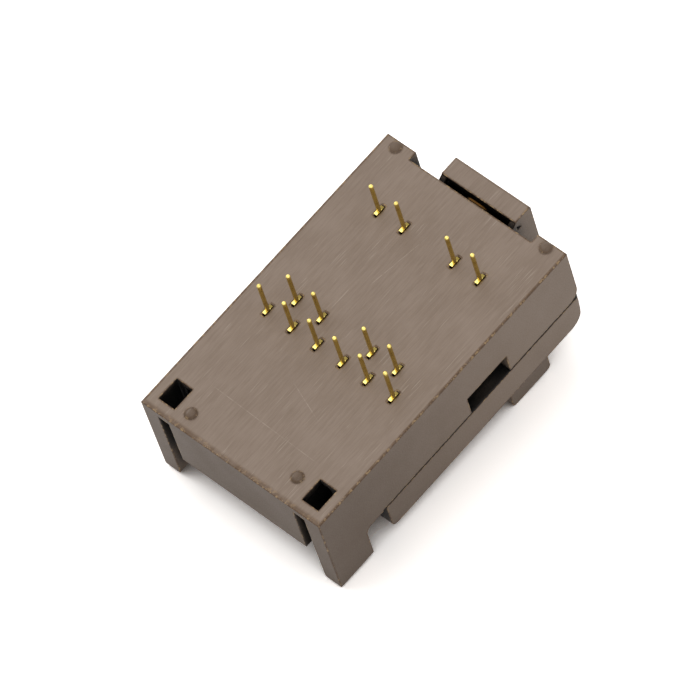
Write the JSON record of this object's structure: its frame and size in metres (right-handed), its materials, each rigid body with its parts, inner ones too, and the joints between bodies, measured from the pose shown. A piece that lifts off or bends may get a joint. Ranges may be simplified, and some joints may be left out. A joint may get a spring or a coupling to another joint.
{
  "type": "integrated circuit socket",
  "caption": "Clamshell test socket for a small-outline package, with a hinged lid, a sprung finger latch and gold through-hole pins.",
  "frame": {"origin": "centre of the flat seat face that meets the circuit board", "axes": "+Z along the pins, out of the seat; +Y towards the latch end; +X across the body, so the body lies below z = 0"},
  "size_m": [0.018, 0.0303, 0.0156],
  "materials": {
    "housing": "satin",
    "insert": "satin",
    "gold": "polished",
    "steel": "satin"
  },
  "bodies": {
    "base": {"base": "housing", "nest": "insert", "latch_pin": "steel", "latch_spring": "steel", "contact_01": "gold", "contact_02": "gold", "contact_03": "gold", "contact_04": "gold", "contact_05": "gold", "contact_06": "gold", "contact_07": "gold", "contact_08": "gold", "contact_09": "gold", "contact_10": "gold", "contact_11": "gold", "contact_12": "gold", "contact_13": "gold", "contact_14": "gold"},
    "lid": {"lid": "housing", "pressure_pad": "insert"},
    "latch": {"latch": "housing"}
  },
  "joints": [
    {"name": "lid_hinge", "type": "hinge", "parent": "base", "child": "lid", "pos_m": [0, -0.0122, -0.00785], "axis": [-1, 0, 0], "range_deg": [0, 100]},
    {"name": "latch_press", "type": "hinge", "parent": "base", "child": "latch", "pos_m": [0, 0.0134, -0.0026], "axis": [1, 0, 0], "range_deg": [0, 12], "stiffness_Nm_per_rad": 0.01, "springref_deg": -17.19, "deforming": ["latch_spring"]}
  ]
}
